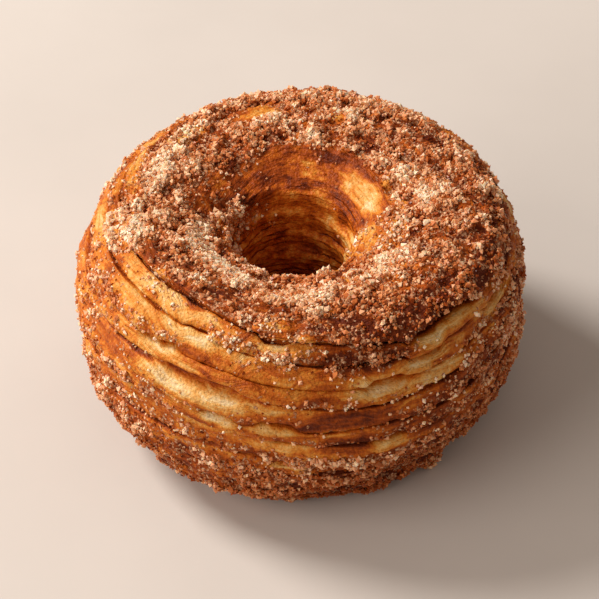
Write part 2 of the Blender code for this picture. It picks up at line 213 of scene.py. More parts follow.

# Places that are browner or paler, barer or more sugared than the rest; later ones lie over earlier ones.
# Some are painted shade or painted light, as marked
PATCH_REACH = 1.35  # how far past its half length and half height a patch fades out
PATCH_FULLNESS = 1.9  # more gives a patch a larger even middle
Patch = namedtuple("Patch", "around run half_length half_height browning sugar")
PATCHES = (
    Patch(-52, 53 * MM, 24, 7.5 * MM, 0.32, 0.1),  # pale leaves under the crust
    Patch(-28, 50 * MM, 12, 4.5 * MM, 0.56, 0.1),
    Patch(-82, 56 * MM, 8, 3 * MM, 0.32, 0.8),
    Patch(-66, 52 * MM, 6, 3 * MM, 0.5, 0.5),
    Patch(-15, 50.5 * MM, 13, 2.5 * MM, 0.58, 0.25),
    Patch(-5, 53.5 * MM, 14, 2.2 * MM, 0.5, 0.7),
    Patch(20, 53.6 * MM, 19, 3.6 * MM, 0.9, 0.8),  # the crust hangs over a second, darker tier
    Patch(8, 41.0 * MM, 13, 2.4 * MM, 0.94, 0.0),
    Patch(-28, 38 * MM, 14, 2.5 * MM, 0.46, 0.15),
    Patch(-9, 36 * MM, 15, 3 * MM, 0.46, 0.1),
    Patch(12, 35.5 * MM, 10, 2.5 * MM, 0.74, 0.2),
    Patch(30, 37 * MM, 12, 4 * MM, 0.7, 0.3),
    Patch(-68, 42 * MM, 16, 12 * MM, 0.5, 0.55),
    Patch(25, 47 * MM, 14, 3.0 * MM, 0.3, 0.02),
    Patch(44, 50 * MM, 20, 2.6 * MM, 0.36, 0.02),
    Patch(62, 41 * MM, 32, 7 * MM, 0.76, 0.7),
    Patch(-35, 33 * MM, 20, 3 * MM, 0.64, 0.7),
    Patch(-58, 41.5 * MM, 8, 3 * MM, 0.62, 0.1),
    Patch(-72, 46 * MM, 7, 6 * MM, 0.5, 0.9),
    Patch(58, 26 * MM, 24, 7 * MM, 0.92, 0.8),
    Patch(16, 18 * MM, 36, 8 * MM, 0.9, 0.85),
    Patch(170, 57.5 * MM, 42, 4 * MM, 0.75, 1.2),
    Patch(92, 54 * MM, 26, 5 * MM, 0.8, 1.0),
    Patch(-79, 61 * MM, 11, 3.5 * MM, 0.4, 1.35),  # thick, pale sugar
    Patch(-108, 64.5 * MM, 11, 3 * MM, 0.4, 1.4),
    Patch(-90, 68 * MM, 10, 3 * MM, 0.68, 1.15),
    Patch(-119, 69 * MM, 12, 2 * MM, 0.7, 1.1),
    # Painted light: paler dough under thick sugar on the near-left rim, which lies in shade
    Patch(-45, 74.5 * MM, 18, 4 * MM, 0.6, 1.1),
    Patch(-80, 78 * MM, 12, 2.5 * MM, 0.62, 1.1),
    Patch(-52, 76.5 * MM, 38, 3.5 * MM, 0.5, 1.2),
    Patch(38, 73 * MM, 26, 6 * MM, 0.62, 1.0),
    Patch(2, 71 * MM, 15, 3.5 * MM, 0.66, 1.3),
    Patch(57, 71.5 * MM, 12, 3 * MM, 0.46, 1.4),
    Patch(84, 74.5 * MM, 22, 2.5 * MM, 0.4, 0.7),
    Patch(104, 67.5 * MM, 12, 3.5 * MM, 0.5, 1.2),
    Patch(113, 72.8 * MM, 12, 2.2 * MM, 0.26, 1.0),
    Patch(178, 67.5 * MM, 34, 4.5 * MM, 0.6, 1.0),
    Patch(40, 59.6 * MM, 36, 4.2 * MM, 0.9, 0.75),  # painted shade on the crust's front-right shoulder: browner, under thinner sugar
    Patch(38, 59.6 * MM, 9, 2.5 * MM, 1.15, 0.5),
    Patch(67, 56.5 * MM, 13, 2.5 * MM, 1.1, 0.6),
    Patch(34, 56 * MM, 12, 2 * MM, 1.05, 0.5),
    Patch(11, 61 * MM, 12, 2.2 * MM, 1.0, 0.5),
    Patch(23.5, 65 * MM, 11, 2.2 * MM, 0.96, 0.6),
    # Thin, stained sugar on browner crust
    Patch(-43, 62.3 * MM, 10, 1.8 * MM, 0.84, 0.6),
    Patch(-66, 63.5 * MM, 8, 2 * MM, 0.78, 0.3),
    Patch(-58, 69.3 * MM, 9, 2.2 * MM, 0.86, 0.6),
    Patch(-33, 67.6 * MM, 9, 2 * MM, 0.78, 0.4),
    Patch(-16, 66 * MM, 8, 2 * MM, 0.8, 0.4),
    Patch(-10, 61.3 * MM, 12, 2.5 * MM, 0.62, 0.55),
    Patch(102, 61 * MM, 10, 2 * MM, 0.92, 0.9),
    Patch(130, 64 * MM, 20, 2.5 * MM, 0.78, 0.7),
    Patch(-142, 74 * MM, 9, 1.8 * MM, 0.95, 0.5),
    Patch(-163, 64 * MM, 10, 2.5 * MM, 0.45, 0.25),
    Patch(-158, 71 * MM, 18, 3 * MM, 0.84, 0.7),
    Patch(-133, 62 * MM, 12, 2.8 * MM, 0.3, 1.05),
    Patch(-99, 60 * MM, 8, 2 * MM, 0.36, 0.6),
    Patch(-88, 61.6 * MM, 6, 2 * MM, 0.58, 0.9),
    Patch(-110, 58.5 * MM, 10, 2 * MM, 0.34, 0.2),
    Patch(-115, 77.5 * MM, 24, 4.5 * MM, 0.78, 0.3),  # rim and walls of the hole
    Patch(-150, 82 * MM, 24, 4.5 * MM, 0.8, 0.1),
    Patch(150, 75.5 * MM, 24, 2 * MM, 0.8, 0.15),
    # Painted highlight: a paler stretch of the band at the hole's far right
    Patch(122, 78.8 * MM, 22, 3.2 * MM, 0.2, 0.03),
    Patch(116, 85 * MM, 20, 3 * MM, 0.74, 0.03),
    Patch(76, 81 * MM, 24, 5 * MM, 0.36, 0.45),
    Patch(-100, 86 * MM, 30, 8 * MM, 0.54, 0.9),
    Patch(162, 79.8 * MM, 12, 1.2 * MM, 0.52, 0.03),
    Patch(176, 82.4 * MM, 14, 1.2 * MM, 0.86, 0.03),
    Patch(136, 82.7 * MM, 18, 1.2 * MM, 0.76, 0.03),
    Patch(-21, 54.5 * MM, 9, 2.2 * MM, 0.24, 0.3),  # smaller places on top of the others
    Patch(-3, 56.8 * MM, 9, 2.4 * MM, 0.4, 0.5),
    Patch(-43, 53 * MM, 7, 2.5 * MM, 0.26, 0.1),
    Patch(-50, 58.6 * MM, 10, 3.2 * MM, 0.16, 0.5),
    Patch(-33, 47.3 * MM, 7, 1.8 * MM, 0.5, 0.1),
    Patch(-13, 46 * MM, 7, 1.8 * MM, 0.4, 0.2),
    Patch(-25, 43.2 * MM, 12, 1.9 * MM, 0.12, 0.1),
    Patch(-6, 41.5 * MM, 7, 1.8 * MM, 0.6, 0.3),
    Patch(-25, 37.8 * MM, 9, 2 * MM, 0.36, 0.15),
    Patch(-20, 33 * MM, 16, 2.5 * MM, 0.42, 0.5),
    Patch(-45, 37 * MM, 12, 5 * MM, 0.42, 0.4),
    Patch(-40, 44 * MM, 8, 2 * MM, 0.2, 0.3),
    # Painted light: paler dough over a leaf's shaded underside
    Patch(38, 44.5 * MM, 8, 2.2 * MM, 0.15, 0.1),
    Patch(56, 47 * MM, 7, 2 * MM, 0.36, 0.8),
    Patch(48, 64 * MM, 10, 1.8 * MM, 0.7, 0.9),
    Patch(41, 67 * MM, 7, 1.8 * MM, 0.5, 1.05),
    Patch(-10, 79 * MM, 10, 1.8 * MM, 0.4, 1.15),
    Patch(179, 66 * MM, 7, 1.4 * MM, 0.74, 0.75),
    Patch(168, 65.6 * MM, 8, 1.8 * MM, 0.5, 1.05),
    Patch(176, 71.7 * MM, 9, 1.8 * MM, 0.45, 0.9),
    Patch(-40, 68 * MM, 7, 1.8 * MM, 0.5, 1.05),
    Patch(30, 74 * MM, 8, 1.8 * MM, 0.5, 1.0),
    Patch(48, 51 * MM, 6, 1.6 * MM, 0.62, 0.1),
    # Painted shade on the crust's front-right shoulder
    Patch(46, 57.4 * MM, 8, 1.6 * MM, 1.1, 0.6),
    Patch(5, 46.9 * MM, 7, 1.5 * MM, 0.7, 0.1),
    Patch(-31, 29 * MM, 10, 2.2 * MM, 0.5, 0.85),
    Patch(13, 11.6 * MM, 16, 3 * MM, 1.1, 0.75),
    Patch(147, 74.6 * MM, 8, 1.4 * MM, 0.9, 0.1),
    Patch(66, 60 * MM, 9, 1.8 * MM, 0.66, 0.9),
    Patch(-31, 41.5 * MM, 6, 1.6 * MM, 0.4, 0.1),
    Patch(-32, 46.2 * MM, 6, 1.6 * MM, 0.62, 0.1),
    Patch(83, 79.5 * MM, 8, 1.6 * MM, 0.52, 0.3),
    Patch(57, 71.4 * MM, 7, 1.8 * MM, 0.58, 1.1),
    Patch(-58, 69 * MM, 8, 1.6 * MM, 0.72, 0.8),
    # Painted shade on the crust's front-right shoulder
    Patch(20, 57.5 * MM, 8, 1.6 * MM, 1.05, 0.6),
    Patch(76, 70 * MM, 9, 2.5 * MM, 0.64, 1.0),
    Patch(88, 62.5 * MM, 7, 1.6 * MM, 0.55, 1.1),
    Patch(90, 66.5 * MM, 8, 1.8 * MM, 0.88, 0.8),
    # Painted shade: a browner near rim, inside the hole's mouth
    Patch(2, 80.2 * MM, 30, 2.2 * MM, 1.0, 0.85),
    Patch(-56, 81 * MM, 16, 2.2 * MM, 0.85, 0.7),
    Patch(104, 91 * MM, 16, 5 * MM, 0.24, 0.03),
)


def outline():
    """(run, radius, height) along the closed cross-section, from the middle of the underside."""
    turn = np.linspace(-np.pi / 2, 3 * np.pi / 2, OUTLINE_POINTS + 1)
    across, up = np.cos(turn), np.sin(turn)
    in_mouth = (up > 0) & (across < 0)
    power = 2 / np.select([in_mouth, up > 0], [MOUTH_SQUARENESS, TOP_SQUARENESS], BASE_SQUARENESS)
    middle, half_width = (OUTER_RADIUS + HOLE_RADIUS) / 2, (OUTER_RADIUS - HOLE_RADIUS) / 2
    radius = middle + half_width * np.sign(across) * np.abs(across) ** power
    to_hole = np.clip((middle - radius) / half_width, 0, 1)
    mouth = MOUTH_DEPTH * to_hole**2 * (3 - 2 * to_hole)
    reach = np.where(up > 0, HEIGHT - WIDEST_HEIGHT - mouth, WIDEST_HEIGHT + BASE_TRIM)
    height = np.maximum(WIDEST_HEIGHT + reach * np.sign(up) * np.abs(up) ** power, 0)
    steps = np.hypot(np.diff(radius), np.diff(height))
    return np.concatenate([[0], np.cumsum(steps)]), radius, height


RUN, RADIUS, RISE = outline()
OUT_RADIAL = np.gradient(RISE, RUN)
OUT_UP = -np.gradient(RADIUS, RUN)


def soft_noise(points, size, seed):
    """Smooth random values from -1 to 1 at the points, in lumps about as large as size."""
    lattice = np.random.default_rng(seed).uniform(-1, 1, (NOISE_CELLS,) * 3)
    cell = np.floor(points / size).astype(int)
    share = points / size - cell
    share = share * share * (3 - 2 * share)
    total = np.zeros(points.shape[:-1])
    for corner in product((0, 1), repeat=3):
        x, y, z = np.moveaxis((cell + corner) % NOISE_CELLS, -1, 0)
        weight = np.prod(np.where(corner, share, 1 - share), axis=-1)
        total += weight * lattice[x, y, z]
    return total


def wander(around, seed):
    """A smooth random value round the ring, mostly from -1 to 1, that meets itself after a full turn."""
    draw = np.random.default_rng(seed)
    waves = ((1, 0.45), (2, 0.4), (3, 0.35), (5, 0.3), (8, 0.15))
    return sum(size * np.cos(turns * around + draw.uniform(0, FULL_TURN)) for turns, size in waves)


def curve(place, points, **period):
    """The value at a place, on straight lines through the points (place, value)."""
    return np.interp(place, *zip(*points), **period)


def mix(first, second, share):
    return first + (second - first) * share


def back_splits():
    """Splits on the far side of the ring, spread evenly along it and up the wall."""
    draw = np.random.default_rng(BACK_SPLIT_SEED)
    splits = []
    for index in range(BACK_SPLITS):
        seam = BACK_LOWEST_SEAM + (index * BACK_SEAM_STEP) % BACK_SEAMS
        around = np.interp(index + 0.5, (0, BACK_SPLITS), BACK_ARC)
        gape = draw.uniform(*BACK_GAPES) * MM
        run = seam_middle(seam, radians(around))
        depth = DEPTH_OF_GAPE * gape + DEPTH_OF_ALL
        splits.append(Split(seam, around, draw.uniform(*BACK_HALF_LENGTHS), run, gape, depth))
    return tuple(splits)


def seam_middle(seam, around):
    """Run of a seam without its wander: 0 is the underside's edge and the last is the crust's edge."""
    nearby = [np.degrees(around) + step for step in EDGE_ROUNDING]
    crust_edge = np.mean([curve(angle, CRUST_EDGE, period=360) for angle in nearby], axis=0)
    return UNDERSIDE_EDGE + (crust_edge - UNDERSIDE_EDGE) * seam / LEAVES


SPLITS = FRONT_SPLITS + back_splits()


def closeness(around, middle, half_length):
    """1 at the middle of a stretch round the ring, falling smoothly to 0 at its ends; both in degrees."""
    away = (around - radians(middle) + np.pi) % FULL_TURN - np.pi
    share = np.clip(np.abs(away) / radians(half_length), 0, 1)
    return np.cos(share * np.pi / 2) ** 2


def seams(around):
    """(runs, gapes, depths, openness) of every seam at the angles round the ring, one row for each seam."""
    runs, gapes, depths, openness = [], [], [], []
    for seam in range(LEAVES + 1):
        strayed = SEAM_WANDER * wander(around, 100 + seam) * min(1, seam / STEADY_SEAMS)
        run = seam_middle(seam, around) + strayed
        gape = SEAM_HEIGHT * (1 + SEAM_HEIGHT_VARIES * wander(around, 200 + seam))
        depth = SEAM_DEPTH * (1 + SEAM_DEPTH_VARIES * wander(around, 300 + seam))
        opened = 0 * around
        for split in (s for s in SPLITS if s.seam == seam):
            near = np.clip(SPLIT_FULLNESS * closeness(around, split.around, split.half_length), 0, 1)
            run, gape = mix(run, split.run, near), mix(gape, split.gape, near)
            depth = mix(depth, split.depth, near)
            opened = np.maximum(opened, near)
        if runs:
            run = np.maximum(run, runs[-1] + (gapes[-1] + gape) / 2 + LEAST_LEAF)
        runs.append(run)
        gapes.append(np.maximum(gape, LEAST_SEAM_HEIGHT))
        depths.append(np.maximum(depth, LEAST_SEAM_DEPTH))
        openness.append(opened)
    return np.array(runs), np.array(gapes), np.array(depths), np.array(openness)


# One row of the ring's mesh, as arrays round the ring: where the row lies, how brown and how sugared it is,
# and how far across the sheets of dough it lies; its browning also holds painted shade and highlight.
Row = namedtuple("Row", "run out browning sugar sheet")


def wall_rows(around):
    """Rows up the outer wall: leaf by leaf, each with the seam above it."""
    runs, gapes, depths, openness = seams(around)
    stands_out = [LEAF_PUSH * wander(around, 400 + leaf) - LEAF_SETBACK for leaf in range(LEAVES)]
    stands_out.append(0 * around)  # the crust above the last seam
    rows = []
    sheet = 0 * around
    for leaf in range(LEAVES):
        low = runs[leaf] + gapes[leaf] / 2
        high = runs[leaf + 1] - gapes[leaf + 1] / 2
        gape, opened = gapes[leaf + 1], openness[leaf + 1]
        bulge = LEAF_BULGE * (1 - LEAF_BULGE_VARIES + LEAF_BULGE_VARIES * wander(around, 500 + leaf))
        rows += leaf_rows(around, leaf, low, high, stands_out[leaf], bulge, opened, sheet)
        sheet = sheet + LEAF_HEIGHT
        top = stands_out[leaf] + bulge * LEAF_PROFILE[-1][1]
        floor = stands_out[leaf] - depths[leaf + 1]
        rows += seam_rows(around, high, gape, top, floor, stands_out[leaf + 1], opened, sheet)
        sheet = sheet + gape
    return rows


def leaf_rows(around, leaf, low, high, push, bulge, opened, sheet):
    """Rows up one leaf, from its drooping lower lip to the edge of the seam above it."""
    rows = []
    lipped = np.clip(0.5 + wander(around, 900 + leaf), 0, 1)
    for step in range(LEAF_ROWS):
        share = step / (LEAF_ROWS - 1)
        run = low + (high - low) * share - NOSE_DROOP * max(0, 1 - share / NOSE_SHARE)
        browning, sugar = wall_coat(around, run)
        lip = curve(share, LIP_FADE) * lipped
        browning = browning + LIP_BROWNING * lip
        sugar = mix(sugar * LEAF_FACE_SUGAR, sugar + LIP_SUGAR, lip)
        pale = SPLIT_PALENESS * opened * curve(share, SPLIT_FADE_DOWN)
        browning, sugar = mix(browning, SPLIT_BROWNING, pale), sugar * (1 - pale)
        out = push + bulge * curve(share, LEAF_PROFILE)
        rows.append(Row(run, out, browning, sugar, sheet + LEAF_HEIGHT * share))
    return rows


def seam_rows(around, low, gape, top, floor, next_push, opened, sheet):
    """Rows up one seam: in from the top of the leaf below it to the floor, then out to the next leaf."""
    rows = []
    for step in range(SEAM_ROWS):
        share = (step + SEAM_ROW_AT) / SEAM_ROWS
        run = low + gape * share
        if share < SEAM_DEEPEST_AT:
            out = mix(top, floor, share / SEAM_DEEPEST_AT)
        else:
            out = mix(floor, next_push, (share - SEAM_DEEPEST_AT) / (1 - SEAM_DEEPEST_AT) * SEAM_RISE)
        browning, sugar = wall_coat(around, run)
        # painted shade, browner down in the seam
        browning = browning + CREVICE_PAINTED_SHADE * np.sin(np.pi * share)
        # cream inside an open split, giving way to painted shade near its top
        pale = SPLIT_PALENESS * opened * curve(share, SPLIT_PALE_UNDER_SHADE)
        browning, sugar = mix(browning, SPLIT_BROWNING, pale), sugar * (1 - pale) * CREVICE_SUGAR
        rows.append(Row(run, out, browning, sugar, sheet + gape * share))
    return rows


def wall_coat(around, run):
    """(browning, sugar) of the outer wall at that run, without its seams."""
    foot = np.clip((FOOT_TOP - run) / FOOT_FADE + 0.5, 0, 1)
    browning, sugar = mix(WALL_BROWNING, FOOT_BROWNING, foot), mix(WALL_SUGAR, FOOT_SUGAR, foot)
    return patched(around, run, browning, sugar)


def patched(around, run, browning, sugar):
    """(browning, sugar) as they are where patches lie over a plain coat."""
    for patch in PATCHES:
        near = closeness(around, patch.around, patch.half_length * PATCH_REACH)
        away = np.clip(np.abs(run - patch.run) / (patch.half_height * PATCH_REACH), 0, 1)
        near = np.clip(PATCH_FULLNESS * near * np.cos(away * np.pi / 2) ** 2, 0, 1)
        browning = mix(browning, patch.browning, near)
        sugar = mix(sugar, patch.sugar, near)
    return browning, sugar


def crust_rows(around):
    """Rows over the top crust, from its lip on the outer shoulder to the rim of the hole."""
    runs, gapes, _, _ = seams(around)
    start = runs[-1] + gapes[-1] / 2
    rows = []
    for row in range(CRUST_ROWS):
        share = row / CRUST_ROWS
        run = start + (HOLE_RIM - start) * share - NOSE_DROOP * max(0, 1 - share / CRUST_NOSE_SHARE)
        points = np.stack([*ring_point(around, run, 0 * around)], axis=-1)
        lip = CRUST_LIP * max(0, 1 - share / CRUST_LIP_SHARE) * curve(share, CRUST_LIP_ROUNDING)
        out = CRUST_SWELL * soft_noise(points, CRUST_SWELL_SIZE, 7) + lip - CRUST_SETBACK
        to_rim = bare_band(around) * max(0, share - 1 + RIM_SHARE) / RIM_SHARE
        coat = mix(curve(share, CRUST_EDGE_SUGAR), RIM_SUGAR, to_rim)
        browning, sugar = patched(around, run, CRUST_BROWNING, CRUST_SUGAR * coat)
        rows.append(Row(run, out, browning, sugar, run))
    return rows


def bare_band(around):
    """1 where the band under the rim is bare, 0 where sugar covers it."""
    return np.clip(BARE_BAND_FULLNESS * closeness(around, BARE_BAND_MIDDLE, BARE_BAND_HALF_LENGTH), 0, 1)


def band_rows(around, bare, band_end):
    """Rows down the smooth hollow band under the rim of the hole."""
    rows = []
    for row in range(BAND_ROWS):
        share = (row + 0.5) / BAND_ROWS
        run = HOLE_RIM + (band_end - HOLE_RIM) * share
        hollow = -BAND_HOLLOW * (1 + BAND_HOLLOW_VARIES * wander(around, 600)) * np.sin(np.pi * share)
        # painted highlight and shade across the bare band
        browning = mix(CRUST_BROWNING, BAND_BROWNING_AND_SHADE + curve(share, BAND_PAINTED_LIGHT), bare)
        browning, sugar = patched(around, run, browning, mix(CRUST_SUGAR, BAND_SUGAR, bare))
        rows.append(Row(run, hollow, browning, sugar, run))
    return rows


def hole_rows(around):
    """Rows down the hole: the band under the rim, then the ribs."""
    bare = bare_band(around)
    band_end = BARE_BAND_END + BAND_TILT * np.cos(around - radians(BAND_WIDER_SIDE))
    rows = band_rows(around, bare, band_end)

    pitch = (RIBS_END - band_end) / RIBS
    crest_runs, crest_outs = [band_end], [0 * around]
    for rib in range(RIBS):
        shift = RIB_WANDER * wander(around, 700 + rib)
        bulge = RIB_BULGE * (1 - RIB_BULGE_VARIES + RIB_BULGE_VARIES * wander(around, 800 + rib))
        crest_runs += [band_end + (rib + at) * pitch + shift for at in (RIB_CREST_AT, RIB_FOOT_AT)]
        crest_outs += [bulge, bulge - RIB_BULGE]
    crests = list(zip(np.transpose(crest_runs), np.transpose(crest_outs)))
    for row in range(RIB_ROWS):
        depth = ((row + 0.5) / RIB_ROWS) ** RIB_ROWS_CROWDING
        run = band_end + (RIBS_END - band_end) * depth
        out = np.array([np.interp(here, *column) for here, column in zip(run, crests)])
        # painted highlight on the rib crests, painted shade in the troughs and deep in the hole
        browning = RIB_BROWNING - RIB_CREST_PAINTED_LIGHT * out / RIB_BULGE + DEEP_PAINTED_SHADE * depth
        sugar = mix(CRUST_SUGAR, RIB_SUGAR, np.maximum(bare, min(1, depth / SUGAR_REACHES)))
        browning, sugar = patched(around, run, browning, sugar)
        rows.append(Row(run, out, browning, sugar, run))
    return rows


def underside_rows(around):
    """Rows across the underside, all on the outline: from the hole's foot to the outer wall's foot."""
    spread = np.linspace(-UNDERSIDE_EDGE, UNDERSIDE_EDGE, UNDERSIDE_ROWS + 2)[1:-1]
    flat = 0 * around
    browning, sugar = UNDERSIDE_BROWNING + flat, UNDERSIDE_SUGAR + flat
    return [Row(run % RUN[-1] + flat, flat, browning, sugar, run + flat) for run in spread]


def ring_point(around, run, out):
    """(x, y, z) of a point at that angle and run, moved out of the dough's outline by out."""
    for middle, middle_run, half_length, half_height, swell in SWELLS:
        away = np.clip(np.abs(run - middle_run) / half_height, 0, 1)
        out = out + swell * closeness(around, middle, half_length) * np.cos(away * np.pi / 2) ** 2
    radius = np.interp(run, RUN, RADIUS) + out * np.interp(run, RUN, OUT_RADIAL)
    height = np.interp(run, RUN, RISE) + out * np.interp(run, RUN, OUT_UP)
    shift = np.interp(radius, HOLE_OFFSET_RADII, (1, 0))
    shift = shift * shift * (3 - 2 * shift)
    x = radius * np.sin(around) + shift * HOLE_OFFSET[0]
    y = -radius * np.cos(around) + shift * HOLE_OFFSET[1]
    return x, y, height


def sheet_drift(points):
    """How far the thin sheets of dough stray at the points, in long waves with a few short ones."""
    return SHEET_DRIFT * (soft_noise(points, 20 * MM, 21) + 0.1 * soft_noise(points, 7 * MM, 24))


def groove_strength(rows, points):
    """How strong the fine grooves between the thin sheets of dough are at each row's points."""
    runs = np.array([row.run for row in rows])
    uneven = np.clip(0.7 + soft_noise(points, 6 * MM, 22), 0, 1) * (points[..., 2] > 0)
    return uneven * curve(runs, GROOVE_STRENGTH)


def make_dough():
    """The dough as one closed grid of rows along the section and columns round the ring."""
    around = np.arange(COLUMNS) * FULL_TURN / COLUMNS
    half = UNDERSIDE_ROWS // 2
    flat = underside_rows(around)
    rows = flat[half:] + wall_rows(around) + crust_rows(around) + hole_rows(around) + flat[:half]
    plain = np.array([np.stack(ring_point(around, row.run, 0 * around), axis=-1) for row in rows])
    sheets = np.array([row.sheet for row in rows]) + sheet_drift(plain)
    strength = groove_strength(rows, plain)
    narrow = (1 - np.abs(np.sin(np.pi * sheets / SHEET_PITCH)) ** 0.7) ** 2  # 1 only close to a groove
    sunk = SHEET_RELIEF * strength * narrow
    points = [ring_point(around, row.run, row.out - groove) for row, groove in zip(rows, sunk)]
    points = np.array([np.stack(point, axis=-1) for point in points])
    points[..., 2] = np.maximum(points[..., 2], 0)
    middle = (points.min(axis=(0, 1)) + points.max(axis=(0, 1))) / 2
    points[..., :2] += (np.array(CAD_BOX).mean(axis=0) - middle)[:2]

    corner = np.arange(len(rows) * COLUMNS).reshape(len(rows), COLUMNS)
    above, beside = np.roll(corner, -1, axis=0), np.roll(corner, -1, axis=1)
    faces = np.stack([corner, beside, np.roll(above, -1, axis=1), above], axis=-1)
    mesh = bpy.data.meshes.new("dough")
    mesh.from_pydata(points.reshape(-1, 3), [], faces.reshape(-1, 4).tolist())
    circle = OUTER_RADIUS * np.array([np.sin(around), -np.cos(around)])
    strand = np.stack([*np.broadcast_arrays(circle[0], circle[1], sheets)], axis=-1)
    set_attribute(mesh, "browning", "FLOAT", "value", [row.browning for row in rows])
    set_attribute(mesh, "grooves", "FLOAT", "value", strength)
    set_attribute(mesh, "sugar", "FLOAT", "value", [row.sugar for row in rows])
    set_attribute(mesh, "strand", "FLOAT_VECTOR", "vector", strand)
    mesh.shade_smooth()
    dough = bpy.data.objects.new("dough", mesh)
    bpy.context.scene.collection.objects.link(dough)
    return dough


def set_attribute(mesh, name, kind, field, values):
    attribute = mesh.attributes.new(name, kind, "POINT")
    attribute.data.foreach_set(field, np.asarray(values, np.float32).ravel())


def get_values(items, field, width=1, kind=np.float32):
    """One field of every item of a mesh as an array."""
    values = np.empty(len(items) * width, kind)
    items.foreach_get(field, values)
    return values.reshape(-1, width) if width > 1 else values


# Fine relief of the dough's skin: name, size, height, and the vertex group that it keeps to, if any
SUGARED = "sugared"
SKIN = (
    ("blisters", 2.6 * MM, 0.4 * MM, ""),
    ("crags", 3.6 * MM, 2.4 * MM, SUGARED),
    ("grit", 1.3 * MM, 1.3 * MM, SUGARED),
)
SKIN_MIDDLE = 0.58  # the clouds' value that moves nothing
SUGAR_LEVELS = 20  # steps in which the relief grows with the sugar


def add_skin(dough):
    """Blisters all over and small lumps where sugar lies thick, from clouds that push along the normals.

    How far out each vertex went is kept as "relief", in millimetres.
    """
    bpy.ops.object.select_all(action="DESELECT")
    bpy.context.view_layer.objects.active = dough
    sugared = dough.vertex_groups.new(name=SUGARED)
    sugar = get_values(dough.data.attributes["sugar"].data, "value")
    before, normals = (get_values(dough.data.vertices, field, 3) for field in ("co", "normal"))
    for level in range(1, SUGAR_LEVELS + 1):
        members = np.flatnonzero(np.round(sugar * SUGAR_LEVELS) == level)
        sugared.add(members.tolist(), level / SUGAR_LEVELS, "REPLACE")
    for name, size, height, group in SKIN:
        clouds = bpy.data.textures.new(name, "CLOUDS")
        clouds.noise_scale = size
        clouds.noise_depth = 1
        push = dough.modifiers.new(name, "DISPLACE")
        push.texture = clouds
        push.texture_coords = "LOCAL"
        push.strength = height
        push.mid_level = SKIN_MIDDLE
        push.vertex_group = group
        bpy.ops.object.modifier_apply(modifier=push.name)
    points = get_values(dough.data.vertices, "co", 3)
    relief = ((points - before) * normals).sum(axis=1) / MM
    set_attribute(dough.data, "relief", "FLOAT", "value", relief)
    points[:, 2] = np.maximum(points[:, 2], 0)
    dough.data.vertices.foreach_set("co", points.ravel())
    dough.data.update()


# ---------------------------------------------------------------------------------------------- sugar

# lift is how high grains pile up on lumps, cluster how much they gather there, and thickness_power how much
# they keep to where the coat is thick.
Grain = namedtuple("Grain", "name count size spread lift cluster thickness_power seed")
GRAINS = (
    Grain("coarse_sugar", 15000, 0.94 * MM, 0.3, 0.8 * MM, 1.5, 3.4, 11),
    Grain("fine_sugar", 22000, 0.56 * MM, 0.4, 0.6 * MM, 1.7, 1.8, 13),
    Grain("cinnamon_sugar", 13000, 0.48 * MM, 0.4, 0.4 * MM, -0.3, 1.7, 12),
)
THICKEST_COAT = 1.15
CLEAN_BELOW = 1.2 * MM  # height under which no grains lie
GRAIN_STANDS_OUT = 0.05  # how far a grain's middle lies above the dough, as a share of its size
LUMP_GATHERS, RELIEF_GATHERS = 0.8, 0.9  # on a lump of the noise, and for each millimetre of relief
FEWEST, MOST = 0.05, 4  # times the plain number of grains

# Tints, from 0 for dark, stained sugar to 1 for pale, clean sugar; some terms below are painted light and
# shade
PLAIN_TINT, TINT_VARIES = 0.22, 0.7
# Painted light and shade: grains on lumps and raised dough paler, those in hollows darker
LUMP_PAINTED_LIGHT, RELIEF_PAINTED_LIGHT = 0.2, 0.35
BROWN_STAIN_AND_SHADE, BROWN_FROM = 0.9, 0.66  # grains on browner dough than this are darker, on paler dough paler, taking on the dough's painted shade as well as its stain
LOW_DARKENING, DARKER_BELOW = 0.3, 20 * MM  # grains lower than this are darker, the more so the lower
THICK_TINT, THICK_FROM, THICK_RANGE = 0.2, 0.95, 0.6

# An eight-sided crystal of about unit size, before each one is made uneven
CRYSTAL_CORNERS = [(0.6, 0, 0), (-0.6, 0, 0), (0, 0.6, 0), (0, -0.6, 0), (0, 0, 0.6), (0, 0, -0.6)]
CRYSTAL_FACES = [(0, 2, 4), (2, 1, 4), (1, 3, 4), (3, 0, 4), (2, 0, 5), (1, 2, 5), (3, 1, 5), (0, 3, 5)]
CRYSTAL_STRETCH = (0.7, 1.15)
CRYSTAL_JITTER = 0.14


